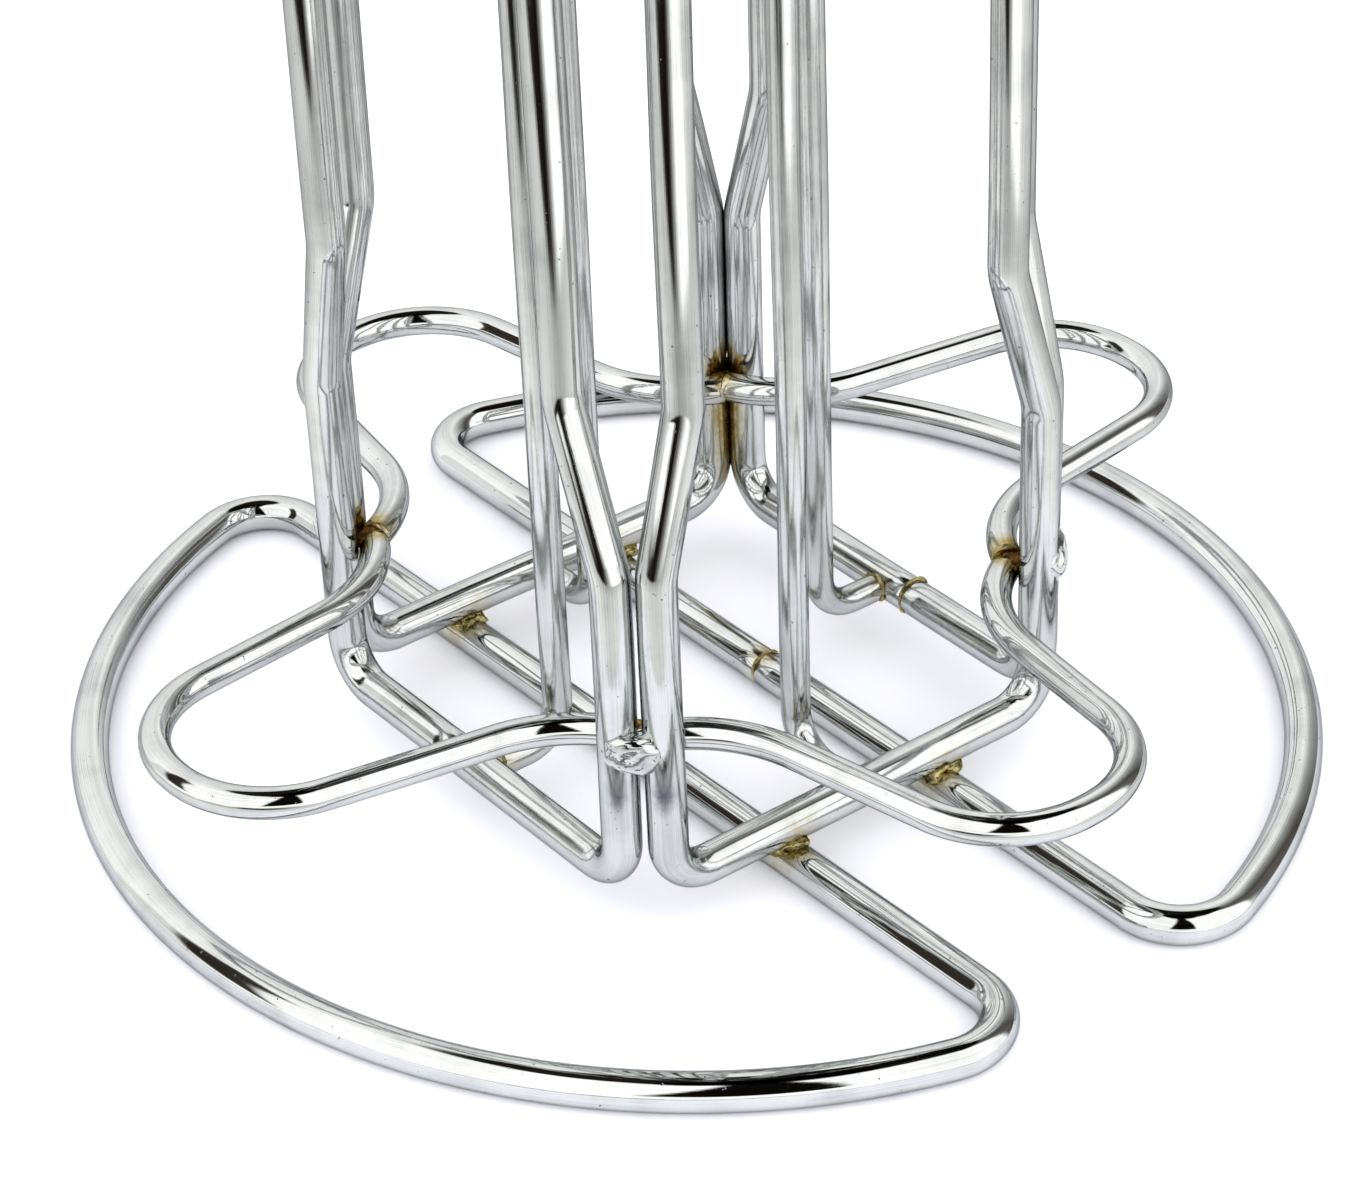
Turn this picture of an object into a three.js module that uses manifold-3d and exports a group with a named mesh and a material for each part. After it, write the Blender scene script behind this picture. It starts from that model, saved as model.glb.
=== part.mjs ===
// Coffee pod tower bent from chromed steel wire: two floor loops, two outer frame wires whose
// upright pairs guide the pods, four tray lobes that catch them, two thin wires up the middle
// that arch over the top as the handle, and the weld beads that hold the wires together.
// Millimetres, +Z up, origin on the floor at the middle of the base.
import * as THREE from "three";
import { mergeVertices } from "three/addons/utils/BufferGeometryUtils.js";
import Module from "manifold-3d";

const wasm = await Module();
wasm.setup();

// wire
const HEAVY_WIRE = 5;
const TRAY_WIRE = 4;
const THIN_WIRE = 3.8;
const HEAVY_SIDES = 10;
const LIGHT_SIDES = 8;
const FIT_GAP = 0.3;
const BAR_GAP = 0.4;
const BEND_STEP = 18;
const SHORTEST_STEP = 0.05;
const MERGE_GAP = 1e-4;

// outer frame: half its width, and how far the uprights stand in from each corner
const HALF_WIDTH = 33.8;
const POST_INSET = { front: 3.9, right: 3.9, back: 3.6, left: 3.9 };
const FOOT_BEND = 6;
const NECK_BEND = 10;
const NECK_BOTTOM = 51.5;
const NECK_TOP = 72;
const FRAME_TOP = 322;
const BAR_SEAM = -5;

// where the eight upper uprights stand along their own sides, measured from the middle of the side
const UPPER = {
  frontLeft: { left: -25.6, right: 22.6 },
  frontRight: { left: -25.1, right: 23.8 },
  backRight: { left: -23.9, right: 23.7 },
  backLeft: { left: -25.8, right: 24.1 },
};

// thin wires that run up the middle and arch over the top
const INNER_REACH = 21.6;
const INNER_FOOT_BEND = 5.5;
const ARCH_TOP = 346;

// floor loops: centre, radius, straight chord, corner bends and the small turn they are welded at
const FLOOR_LOOPS = [
  { name: "base_loop_front", side: 0, x: -1.3, y: 4.9, radius: 82.3, chord: 12.2, corner: 8, turn: 1.3 },
  { name: "base_loop_rear", side: 180, x: 0.4, y: 2.6, radius: 81.6, chord: 12.4, corner: 8, turn: 0.6 },
];
const LOOP_STEP = 7.5;

// tray lobes: side they stand on, how far they reach, height of the wire and sideways lean of the tip
const LOBES = [
  { name: "tray_lobe_front_left", side: 0, reach: 76.3, height: 25.9, lean: -1.6 },
  { name: "tray_lobe_front_right", side: 90, reach: 74, height: 26, lean: 1.6 },
  { name: "tray_lobe_back_right", side: 180, reach: 76.6, height: 27, lean: -0.8 },
  { name: "tray_lobe_back_left", side: 270, reach: 74.8, height: 26.5, lean: 0.5 },
];
const LOBE_TIP_HALF = 12.9;
const LOBE_TIP_BEND = 14.6;
const LOBE_FLARE = [19.35, -34];
const LOBE_FLARE_BEND = 19.6;
const LOBE_END = [28.07, -29.32];

// weld beads: half sizes of the ellipsoids they are cut from
const PAIR_BEAD = { across: 4.6, out: 3.4, up: 3.4, forward: 1.6 };
const LOBE_BEAD = { across: 4.8, out: 3.3, up: 3.9, back: 3.4 };
const CROSS_BEAD = { along: 4.4, across: 4.4, up: 2.3 };
const FOOT_BEAD = { across: 2.9, out: 2.6, up: 3, inset: 0.2 };
const SEAM_BEAD = { along: 1.6, around: 3.2 };
const HANDLE_BEAD = { along: 3.4, across: 3.4, up: 2 };
const BEAD_CLEARANCE = 0.2;
const BEAD_COLUMNS = 10;
const BEAD_ROWS = 6;
const CUTTER_REACH = 10;
const CUTTER_BLOCK = 30;

const chrome = new THREE.MeshStandardMaterial({ color: 0xd9dbdf, roughness: 0.12, metalness: 1 });
const platedBead = new THREE.MeshStandardMaterial({ color: 0xb9bbbf, roughness: 0.3, metalness: 1 });
const strawBead = new THREE.MeshStandardMaterial({ color: 0xb08d4c, roughness: 0.38, metalness: 1 });
const brownBead = new THREE.MeshStandardMaterial({ color: 0x7a5238, roughness: 0.45, metalness: 1 });

const tower = new THREE.Group();

// Height of a wire's centre when one flat facet of its section lies on a surface at height z.
function restHeight(diameter, sides, z) {
  return z + (diameter / 2) * Math.cos(Math.PI / sides);
}

const FLOOR_LOOP_Z = restHeight(HEAVY_WIRE, HEAVY_SIDES, 0);
const BAR_Z = restHeight(HEAVY_WIRE, HEAVY_SIDES, 2 * FLOOR_LOOP_Z + BAR_GAP);

// A wire's centre line as stations that each hold a point and the direction of the wire there.
class WirePath extends THREE.Curve {
  constructor(stations) {
    super();
    this.stations = stations;
  }

  blend(t, key) {
    const place = t * (this.stations.length - 1);
    const before = Math.min(Math.floor(place), this.stations.length - 2);
    const from = this.stations[before][key];
    const to = this.stations[before + 1][key];
    return from.clone().lerp(to, place - before);
  }

  getPoint(t) {
    return this.blend(t, "point");
  }

  getPointAt(t) {
    return this.blend(t, "point");
  }

  getTangent(t) {
    return this.blend(t, "heading").normalize();
  }

  getTangentAt(t) {
    return this.getTangent(t);
  }

  getSpacedPoints() {
    return this.stations.map((station) => station.point.clone());
  }
}

// Stations of a wire that runs through corner points, with a round bend at each inner corner.
function bentWire(corners, bends) {
  const points = corners.map((corner) => new THREE.Vector3(...corner));
  const first = points[1].clone().sub(points[0]).normalize();
  const stations = [{ point: points[0], heading: first }];
  bends.forEach((bend, index) => {
    const corner = points[index + 1];
    const arriving = corner.clone().sub(points[index]).normalize();
    const leaving = points[index + 2].clone().sub(corner).normalize();
    const angle = arriving.angleTo(leaving);
    const axis = arriving.clone().cross(leaving).normalize();
    const inward = axis.clone().cross(arriving);
    const start = corner.clone().addScaledVector(arriving, -bend * Math.tan(angle / 2));
    const centre = start.clone().addScaledVector(inward, bend);
    const steps = Math.ceil(THREE.MathUtils.radToDeg(angle) / BEND_STEP);
    for (let step = 0; step <= steps; step += 1) {
      const turn = (angle * step) / steps;
      const point = start.clone().sub(centre).applyAxisAngle(axis, turn).add(centre);
      addStation(stations, point, arriving.clone().applyAxisAngle(axis, turn));
    }
  });
  const last = points[points.length - 1];
  const heading = last.clone().sub(points[points.length - 2]).normalize();
  addStation(stations, last, heading);
  return stations;
}

// Adds a station unless it falls on the one before it.
function addStation(stations, point, heading) {
  const previous = stations[stations.length - 1];
  if (!previous || previous.point.distanceTo(point) > SHORTEST_STEP) {
    stations.push({ point, heading });
  }
}

// Closed solid of a wire: a many-sided section with a flat facet down, carried along its stations.
function wireGeometry(stations, diameter, sides) {
  const section = new THREE.Shape();
  for (let side = 0; side < sides; side += 1) {
    const angle = ((side + 0.5) * 2 * Math.PI) / sides;
    const x = (diameter / 2) * Math.cos(angle);
    const y = (diameter / 2) * Math.sin(angle);
    if (side === 0) {
      section.moveTo(x, y);
    } else {
      section.lineTo(x, y);
    }
  }
  return new THREE.ExtrudeGeometry(section, {
    steps: stations.length - 1,
    extrudePath: new WirePath(stations),
    bevelEnabled: false,
  });
}

// Named mesh turned about the tower's axis by a number of degrees.
function place(name, geometry, material, degrees = 0) {
  const mesh = new THREE.Mesh(geometry, material);
  mesh.name = name;
  mesh.rotation.z = THREE.MathUtils.degToRad(degrees);
  tower.add(mesh);
}

// Floor loop on the -Y side: a wide arc whose ends bend round into a straight chord near the middle.
function floorLoopStations({ x, y, radius, chord, corner }) {
  const cornerY = -chord - corner;
  const cornerReach = Math.sqrt((radius - corner) ** 2 - (cornerY - y) ** 2);
  const meet = Math.atan2(cornerY - y, cornerReach);
  const stations = [];
  const arc = (centreX, centreY, bend, from, to) => {
    const widest = bend > corner ? LOOP_STEP : 2 * LOOP_STEP;
    const steps = Math.ceil(THREE.MathUtils.radToDeg(Math.abs(to - from)) / widest);
    for (let step = 0; step <= steps; step += 1) {
      const angle = from + ((to - from) * step) / steps;
      const point = new THREE.Vector3(
        centreX + bend * Math.cos(angle),
        centreY + bend * Math.sin(angle),
        FLOOR_LOOP_Z,
      );
      addStation(stations, point, new THREE.Vector3(Math.sin(angle), -Math.cos(angle), 0));
    }
  };
  const chordPoint = (side) => new THREE.Vector3((side * FIT_GAP) / 2, -chord, FLOOR_LOOP_Z);
  stations.push({ point: chordPoint(1), heading: new THREE.Vector3(1, 0, 0) });
  arc(x + cornerReach, cornerY, corner, Math.PI / 2, meet);
  arc(x, y, radius, meet, -Math.PI - meet);
  arc(x - cornerReach, cornerY, corner, -Math.PI - meet, -1.5 * Math.PI);
  stations.push({ point: chordPoint(-1), heading: new THREE.Vector3(1, 0, 0) });
  return stations;
}

function addFloorLoops() {
  for (const loop of FLOOR_LOOPS) {
    const geometry = wireGeometry(floorLoopStations(loop), HEAVY_WIRE, HEAVY_SIDES);
    place(loop.name, geometry, chrome, loop.side + loop.turn);
  }
}

// Right-hand frame wire: from the seam of the front-left bar, up and over the front upright pair,
// along the front-right bar, up and over the right pair, to the seam of the back-right bar.
// The left-hand wire is the same route through the left and back corners.
function frameWireStations(pairs) {
  const half = FIT_GAP / 2;
  const at = (side, along, z) => {
    const turned = new THREE.Vector3(along, -HALF_WIDTH, z);
    return turned.applyAxisAngle(new THREE.Vector3(0, 0, 1), THREE.MathUtils.degToRad(side));
  };
  const corners = [at(pairs[0].side, BAR_SEAM + half, BAR_Z)];
  const bends = [];
  for (const { side, rising, falling, inset } of pairs) {
    const next = side + 90;
    const foot = HALF_WIDTH - inset;
    corners.push(at(side, foot, BAR_Z), at(side, foot, NECK_BOTTOM), at(side, rising, NECK_TOP));
    corners.push(at(side, rising, FRAME_TOP), at(next, falling, FRAME_TOP));
    corners.push(at(next, falling, NECK_TOP), at(next, -foot, NECK_BOTTOM), at(next, -foot, BAR_Z));
    const over = at(side, rising, 0).distanceTo(at(next, falling, 0));
    bends.push(FOOT_BEND, NECK_BEND, NECK_BEND, over / 2, over / 2, NECK_BEND, NECK_BEND, FOOT_BEND);
  }
  corners.push(at(pairs[1].side + 90, BAR_SEAM - half, BAR_Z));
  return bentWire(corners, bends);
}

function addFrameWires() {
  const right = frameWireStations([
    { side: 0, rising: UPPER.frontLeft.right, falling: UPPER.frontRight.left, inset: POST_INSET.front },
    { side: 90, rising: UPPER.frontRight.right, falling: UPPER.backRight.left, inset: POST_INSET.right },
  ]);
  const left = frameWireStations([
    { side: 180, rising: UPPER.backRight.right, falling: UPPER.backLeft.left, inset: POST_INSET.back },
    { side: 270, rising: UPPER.backLeft.right, falling: UPPER.frontLeft.left, inset: POST_INSET.left },
  ]);
  place("frame_wire_right", wireGeometry(right, HEAVY_WIRE, HEAVY_SIDES), chrome);
  place("frame_wire_left", wireGeometry(left, HEAVY_WIRE, HEAVY_SIDES), chrome);
}

// Tray lobe on the -Y side: a round tip, nearly straight sides, and ends that flare out to the posts.
function lobeStations({ reach, height, lean }) {
  const [flareX, flareY] = LOBE_FLARE;
  const [endX, endY] = LOBE_END;
  const corners = [
    [endX, endY, height],
    [flareX, flareY, height],
    [lean + LOBE_TIP_HALF, -reach, height],
    [lean - LOBE_TIP_HALF, -reach, height],
    [-flareX, flareY, height],
    [-endX, endY, height],
  ];
  return bentWire(corners, [LOBE_FLARE_BEND, LOBE_TIP_BEND, LOBE_TIP_BEND, LOBE_FLARE_BEND]);
}

function addTrayLobes() {
  for (const lobe of LOBES) {
    place(lobe.name, wireGeometry(lobeStations(lobe), TRAY_WIRE, LIGHT_SIDES), chrome, lobe.side);
  }
}

// Thin wire in the XZ plane: a foot against each side bar, straight up, and a half-round arch on top.
function archStations(top) {
  const footEnd = HALF_WIDTH - HEAVY_WIRE / 2 - FIT_GAP;
  const corners = [
    [-footEnd, 0, BAR_Z],
    [-INNER_REACH, 0, BAR_Z],
    [-INNER_REACH, 0, top],
    [INNER_REACH, 0, top],
    [INNER_REACH, 0, BAR_Z],
    [footEnd, 0, BAR_Z],
  ];
  return bentWire(corners, [INNER_FOOT_BEND, INNER_REACH, INNER_REACH, INNER_FOOT_BEND]);
}

function addHandleWires() {
  const lower = wireGeometry(archStations(ARCH_TOP), THIN_WIRE, LIGHT_SIDES);
  const upper = wireGeometry(archStations(ARCH_TOP + THIN_WIRE + FIT_GAP), THIN_WIRE, LIGHT_SIDES);
  place("handle_wire_cross", lower, chrome);
  place("handle_wire_main", upper, chrome, 90);
}

// Turns a closed mesh into a solid that can be cut.
function solidOf(geometry) {
  const plain = geometry.clone();
  plain.deleteAttribute("normal");
  plain.deleteAttribute("uv");
  const merged = mergeVertices(plain, MERGE_GAP);
  return new wasm.Manifold(new wasm.Mesh({
    numProp: 3,
    vertProperties: new Float32Array(merged.attributes.position.array),
    triVerts: new Uint32Array(merged.index.array),
  }));
}

// Turns a cut solid back into a mesh geometry.
function geometryOf(solid) {
  const cut = solid.getMesh();
  const geometry = new THREE.BufferGeometry();
  geometry.setAttribute("position", new THREE.BufferAttribute(new Float32Array(cut.vertProperties), 3));
  geometry.setIndex(new THREE.BufferAttribute(new Uint32Array(cut.triVerts), 1));
  return geometry;
}

// Ellipsoid with half sizes along its own X, Y and Z, turned about Z and moved to a centre.
function bead(sizes, centre, degrees = 0) {
  const ball = new THREE.SphereGeometry(1, BEAD_COLUMNS, BEAD_ROWS);
  ball.scale(...sizes);
  ball.rotateZ(THREE.MathUtils.degToRad(degrees));
  ball.translate(...centre);
  return ball;
}

// Straight cutter along a wire that passes a bead, a little fatter than the wire.
function wireCutter(from, to, diameter, sides) {
  const stations = bentWire([from, to], []);
  return solidOf(wireGeometry(stations, diameter + 2 * BEAD_CLEARANCE, sides));
}

function cutBead(sizes, centre, degrees, cutters) {
  let solid = solidOf(bead(sizes, centre, degrees));
  for (const cutter of cutters) {
    solid = solid.subtract(cutter);
  }
  return geometryOf(solid);
}

// The four corners and the two lobes that meet at each of them.
const CORNERS = [
  { name: "front", side: 0, near: LOBES[0], far: LOBES[1] },
  { name: "right", side: 90, near: LOBES[1], far: LOBES[2] },
  { name: "back", side: 180, near: LOBES[2], far: LOBES[3] },
  { name: "left", side: 270, near: LOBES[3], far: LOBES[0] },
];

// The straight lower parts of two uprights at the front corner, as cutters.
function postCutters(post) {
  const plan = [[post, -HALF_WIDTH], [HALF_WIDTH, -post]];
  const foot = BAR_Z + FOOT_BEND;
  return plan.map(([x, y]) => wireCutter([x, y, foot], [x, y, NECK_BOTTOM], HEAVY_WIRE, HEAVY_SIDES));
}

// A tray lobe as a cutter, a little longer than the wire at both ends, turned about the tower's axis.
function lobeCutter(lobe, degrees) {
  const stations = lobeStations(lobe);
  const first = stations[0];
  const last = stations[stations.length - 1];
  first.point.addScaledVector(first.heading, -BEAD_CLEARANCE);
  last.point.addScaledVector(last.heading, BEAD_CLEARANCE);
  const geometry = wireGeometry(stations, TRAY_WIRE + 2 * BEAD_CLEARANCE, LIGHT_SIDES);
  geometry.rotateZ(THREE.MathUtils.degToRad(degrees));
  return solidOf(geometry);
}

// Block that cuts away everything on one side of the plane through both uprights of the front pair.
function sideCutter(post, outward) {
  const size = CUTTER_BLOCK;
  const block = new THREE.BoxGeometry(size, size, 2 * size);
  const middle = (post + HALF_WIDTH) / Math.SQRT2;
  block.translate(0, -(middle + outward * (size / 2 - BEAD_CLEARANCE)), 0);
  block.rotateZ(Math.PI / 4);
  block.translate(0, 0, LOBES[0].height);
  return solidOf(block);
}

// A plated bead on the outside of each upright pair, and a brown one inside where the lobes meet it.
function addCornerBeads() {
  for (const { name, side, near, far } of CORNERS) {
    const height = (near.height + far.height) / 2;
    const post = HALF_WIDTH - POST_INSET[name];
    const middle = (post + HALF_WIDTH) / 2;
    const forward = middle + PAIR_BEAD.forward / Math.SQRT2;
    const pairSizes = [PAIR_BEAD.across, PAIR_BEAD.out, PAIR_BEAD.up];
    const outerCutters = [...postCutters(post), sideCutter(post, -1)];
    const pair = cutBead(pairSizes, [forward, -forward, height], 45, outerCutters);
    place(`pair_weld_${name}`, pair, platedBead, side);
    const back = middle - LOBE_BEAD.back / Math.SQRT2;
    const lobeSizes = [LOBE_BEAD.across, LOBE_BEAD.out, LOBE_BEAD.up];
    const lobeCutters = [lobeCutter(near, 0), lobeCutter(far, 90)];
    const innerCutters = [...postCutters(post), ...lobeCutters, sideCutter(post, 1)];
    const inner = cutBead(lobeSizes, [back, -back, height], 45, innerCutters);
    place(`lobe_weld_${name}`, inner, brownBead, side);
  }
}

// A straw-coloured bead at each place where a side bar lies across a floor loop's chord.
function addCrossingBeads() {
  const places = [
    { name: "front_left", loop: FLOOR_LOOPS[0], x: -HALF_WIDTH },
    { name: "front_right", loop: FLOOR_LOOPS[0], x: HALF_WIDTH },
    { name: "rear_right", loop: FLOOR_LOOPS[1], x: HALF_WIDTH },
    { name: "rear_left", loop: FLOOR_LOOPS[1], x: -HALF_WIDTH },
  ];
  for (const { name, loop, x } of places) {
    const turn = THREE.MathUtils.degToRad(loop.turn);
    const front = loop.side === 0 ? -1 : 1;
    const y = (front * loop.chord) / Math.cos(turn) + x * Math.tan(turn);
    const barEnds = [-CUTTER_REACH, CUTTER_REACH].map((step) => [x, y + step, BAR_Z]);
    const chordEnds = [-CUTTER_REACH, CUTTER_REACH].map((step) => [
      x + step,
      y + step * Math.tan(turn),
      FLOOR_LOOP_Z,
    ]);
    const bar = wireCutter(...barEnds, HEAVY_WIRE, HEAVY_SIDES);
    const chord = wireCutter(...chordEnds, HEAVY_WIRE, HEAVY_SIDES);
    const middle = (BAR_Z + FLOOR_LOOP_Z) / 2;
    const sizes = [CROSS_BEAD.along, CROSS_BEAD.across, CROSS_BEAD.up];
    place(`crossing_weld_${name}`, cutBead(sizes, [x, y, middle], 0, [bar, chord]), strawBead);
  }
}

// Cutter along a heavy wire that passes a bead in the X direction.
function passingCutter(x, y, z) {
  return wireCutter([x - CUTTER_REACH, y, z], [x + CUTTER_REACH, y, z], HEAVY_WIRE, HEAVY_SIDES);
}

// A bead where each thin wire's foot butts against the inside of a bar.
function addFootBeads() {
  const middle = HALF_WIDTH - HEAVY_WIRE / 2 - FOOT_BEAD.inset;
  const names = ["front_left", "front_right", "back_right", "back_left"];
  names.forEach((name, index) => {
    const bar = passingCutter(0, -HALF_WIDTH, BAR_Z);
    const foot = wireCutter([0, -HALF_WIDTH, BAR_Z], [0, -INNER_REACH, BAR_Z], THIN_WIRE, LIGHT_SIDES);
    const sizes = [FOOT_BEAD.across, FOOT_BEAD.out, FOOT_BEAD.up];
    const weld = cutBead(sizes, [0, -middle, BAR_Z], 0, [bar, foot]);
    place(`foot_weld_${name}`, weld, strawBead, index * 90);
  });
}

// A bead round each butt seam: one near the middle of two bars, and one on each floor loop's chord.
function addSeamBeads() {
  const sizes = [SEAM_BEAD.along, SEAM_BEAD.around, SEAM_BEAD.around];
  const ring = () => {
    const centre = [BAR_SEAM, -HALF_WIDTH, BAR_Z];
    return cutBead(sizes, centre, 0, [passingCutter(...centre)]);
  };
  const saddle = (chord) => {
    const centre = [0, -chord, FLOOR_LOOP_Z];
    const below = new THREE.BoxGeometry(CUTTER_BLOCK, CUTTER_BLOCK, CUTTER_BLOCK);
    below.translate(0, -chord, (FLOOR_LOOP_Z - CUTTER_BLOCK) / 2);
    return cutBead(sizes, centre, 0, [passingCutter(...centre), solidOf(below)]);
  };
  place("seam_weld_front_left_bar", ring(), platedBead);
  place("seam_weld_back_right_bar", ring(), strawBead, 180);
  place("seam_weld_front_loop", saddle(FLOOR_LOOPS[0].chord), strawBead, FLOOR_LOOPS[0].turn);
  place("seam_weld_rear_loop", saddle(FLOOR_LOOPS[1].chord), strawBead, 180 + FLOOR_LOOPS[1].turn);
}

// The bead between the two arches where they cross at the top.
function addHandleBead() {
  const upperZ = ARCH_TOP + THIN_WIRE + FIT_GAP;
  const diameter = THIN_WIRE + 2 * BEAD_CLEARANCE;
  const lower = wireGeometry(archStations(ARCH_TOP), diameter, LIGHT_SIDES);
  const upper = wireGeometry(archStations(upperZ), diameter, LIGHT_SIDES).rotateZ(Math.PI / 2);
  const sizes = [HANDLE_BEAD.along, HANDLE_BEAD.across, HANDLE_BEAD.up];
  const centre = [0, 0, (ARCH_TOP + upperZ) / 2];
  place("handle_weld", cutBead(sizes, centre, 0, [solidOf(lower), solidOf(upper)]), platedBead);
}

addFloorLoops();
addFrameWires();
addTrayLobes();
addHandleWires();
addCornerBeads();
addCrossingBeads();
addFootBeads();
addSeamBeads();
addHandleBead();

export default tower;
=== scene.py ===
"""Looks of a coffee pod tower bent from chromed wire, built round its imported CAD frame."""
import math
from functools import cache

import bpy
import numpy as np
from bpy.props import FloatProperty, FloatVectorProperty, PointerProperty
from mathutils import Matrix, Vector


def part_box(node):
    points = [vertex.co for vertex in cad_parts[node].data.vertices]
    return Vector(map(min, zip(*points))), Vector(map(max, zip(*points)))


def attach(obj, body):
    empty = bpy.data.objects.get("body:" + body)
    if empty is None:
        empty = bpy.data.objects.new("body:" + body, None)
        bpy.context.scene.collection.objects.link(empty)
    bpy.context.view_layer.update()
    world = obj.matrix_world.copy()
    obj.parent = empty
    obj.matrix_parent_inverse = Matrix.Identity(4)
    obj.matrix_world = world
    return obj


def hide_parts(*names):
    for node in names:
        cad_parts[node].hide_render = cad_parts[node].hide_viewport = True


bl_info = {
    "name": "Wire pod tower",
    "version": (1, 0, 0),
    "blender": (4, 5, 0),
    "location": "3D View > Sidebar > Pod tower",
    "description": "Builds a chromed wire pod tower piece by piece, with its weld beads and a plain stage",
    "category": "Add Mesh",
}

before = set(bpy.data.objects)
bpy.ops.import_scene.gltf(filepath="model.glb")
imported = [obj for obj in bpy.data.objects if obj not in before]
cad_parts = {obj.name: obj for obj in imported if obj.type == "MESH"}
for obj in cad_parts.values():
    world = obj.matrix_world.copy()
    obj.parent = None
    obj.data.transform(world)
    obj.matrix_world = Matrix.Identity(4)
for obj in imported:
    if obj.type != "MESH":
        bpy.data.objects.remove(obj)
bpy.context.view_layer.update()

MM = 0.001
DOWN = np.array([0, 0, -1.0])
EAST = np.array([1.0, 0, 0])

# how far each side and each corner is turned about the axis, in degrees
SIDES = {"front_left": 0, "front_right": 90, "back_right": 180, "back_left": 270}
CORNER_TURNS = {"front": 0, "right": 90, "back": 180, "left": 270}
DIAGONAL = 45

# the frame's wires have ten flat faces, two of them level, so they are a little lower than round ones
CAD_FACETS = 10
FACET_SHARE = math.cos(math.pi / CAD_FACETS)

# how finely the wires are drawn, and the shallow domes that close their ends on both sides of a seam
WIRE_SEGMENTS = 32
STRAIGHT_STEP = 3 * MM
SHORTEST_RUN = 0.05 * MM
BEND_STEP = math.radians(3)
END_DOME = 0.35 * MM
SEAM_SIDE = END_DOME + 0.03 * MM
DOME_ANGLES = np.radians([25, 45, 62, 76, 86])
DOME_POWER = 0.35

# lengths of the two slow waves in a hand-bent wire, and of the stretch where they die out at an end
LONG_WAVE = 83 * MM
SHORT_WAVE = 57 * MM
STEADY_END = 20 * MM

# how far a thin wire's foot reaches into the bar that it is welded to
BAR_OVERLAP = 0.4 * MM

# where the upper uprights stand along their side, from its middle: (left one, right one)
UPPER_POSTS = {
    "front_left": (-25.6 * MM, 22.6 * MM),
    "front_right": (-25.1 * MM, 23.8 * MM),
    "back_right": (-23.9 * MM, 23.7 * MM),
    "back_left": (-25.8 * MM, 24.1 * MM),
}

# where the frame wires' ends meet along their bar, from its middle
BAR_SEAM = -5 * MM

# each floor loop in millimetres: the centre and radius of its wide arc, how far its chord lies from
# the middle and the radius of its corners, with the side it is on and its own slight turn in degrees
FLOOR_LOOPS = {
    "base_loop_front": {
        "side": 0, "turn": 1.3, "x": -1.3, "y": 4.9, "radius": 82.3, "chord": 12.2, "corner": 8,
    },
    "base_loop_rear": {
        "side": 180, "turn": 0.6, "x": 0.4, "y": 2.6, "radius": 81.6, "chord": 12.4, "corner": 8,
    },
}

# how far a lobe's tip leans to the right of its side's middle, and where it flares out and ends
LOBE_LEAN = {
    "front_left": -1.6 * MM, "front_right": 1.6 * MM, "back_right": -0.8 * MM, "back_left": 0.5 * MM,
}
LOBE_FLARE = (19.35 * MM, -34 * MM)
LOBE_END = (28.5 * MM, -29.1 * MM)

# each kind of bead: half sizes across, outward and up in millimetres, ripple and first seed
BEADS = {
    "pair": ((3.7, 2.0, 2.9), 0.045, 20),
    "lobe": ((2.2, 1.6, 1.4), 0.08, 40),
    "crossing": ((2.5, 2.6, 1.5), 0.1, 60),
    "foot": ((2.0, 0.45, 1.95), 0.05, 80),
    "handle": ((2.6, 2.6, 1.6), 0.06, 99),
}

# how finely the beads are drawn, how many ripples they have and how full they are
BEAD_ROWS = 40
BEAD_COLUMNS = 56
BEAD_RIPPLES = 9
BEAD_POWER = 0.8

# seam beads take their half sizes from the wire, so only their ripple and first seeds stand here
SEAM_RIPPLE = 0.02
BAR_SEAM_SEED = 90
LOOP_SEAM_SEED = 95


def length(name, words, default):
    """One length in metres for the sidebar."""
    return FloatProperty(name=name, description=words, default=default, unit="LENGTH", precision=4)


def paint(name, words, default):
    """One colour for the sidebar."""
    return FloatVectorProperty(name=name, description=words, default=default, subtype="COLOR", min=0, max=1)


def brightness(name, words, default):
    """One brightness for the sidebar."""
    return FloatProperty(name=name, description=words, default=default, min=0)


def heavy_radius():
    """Half the height that a floor loop's facets span, grown back to the round wire they stand for."""
    low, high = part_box("base_loop_front")
    return (high[2] - low[2]) / 2 / FACET_SHARE


class TowerSizes(bpy.types.PropertyGroup):
    heavy: length("Heavy wire radius", "Radius of the frame and floor wires", heavy_radius())
    tray: length("Tray wire radius", "Radius of the tray lobe wires", 2 * MM)
    thin: length("Thin wire radius", "Radius of the middle wires", 1.9 * MM)
    inset: length("Upright inset", "How far an upright stands in from its corner", 3.9 * MM)
    back_inset: length("Back upright inset", "The same at the back, where the pair touches", 3.45 * MM)
    thin_bend: length("Thin foot bend", "Bend radius at the foot of a thin wire", 5.5 * MM)
    foot_bend: length("Foot bend", "Bend radius at the foot of an upright", 6 * MM)
    neck_bend: length("Neck bend", "Bend radius at both ends of the slanted neck", 10 * MM)
    neck_bottom: length("Neck bottom", "Height where the uprights begin to lean apart", 51.5 * MM)
    neck_top: length("Neck top", "Height where the uprights stand straight again", 72 * MM)
    inner_reach: length("Thin wire reach", "Distance of the thin wires from the middle", 21.6 * MM)
    lobe_half: length("Lobe tip half width", "Half the width of a lobe's tip corners", 12.9 * MM)
    lobe_bend: length("Lobe tip bend", "Bend radius of a lobe's tip", 14.6 * MM)
    flare_bend: length("Lobe flare bend", "Bend radius where a lobe flares out to the uprights", 19.6 * MM)
    waver: length("Waver", "How far a hand-bent wire strays from its line", 0.06 * MM)


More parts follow.
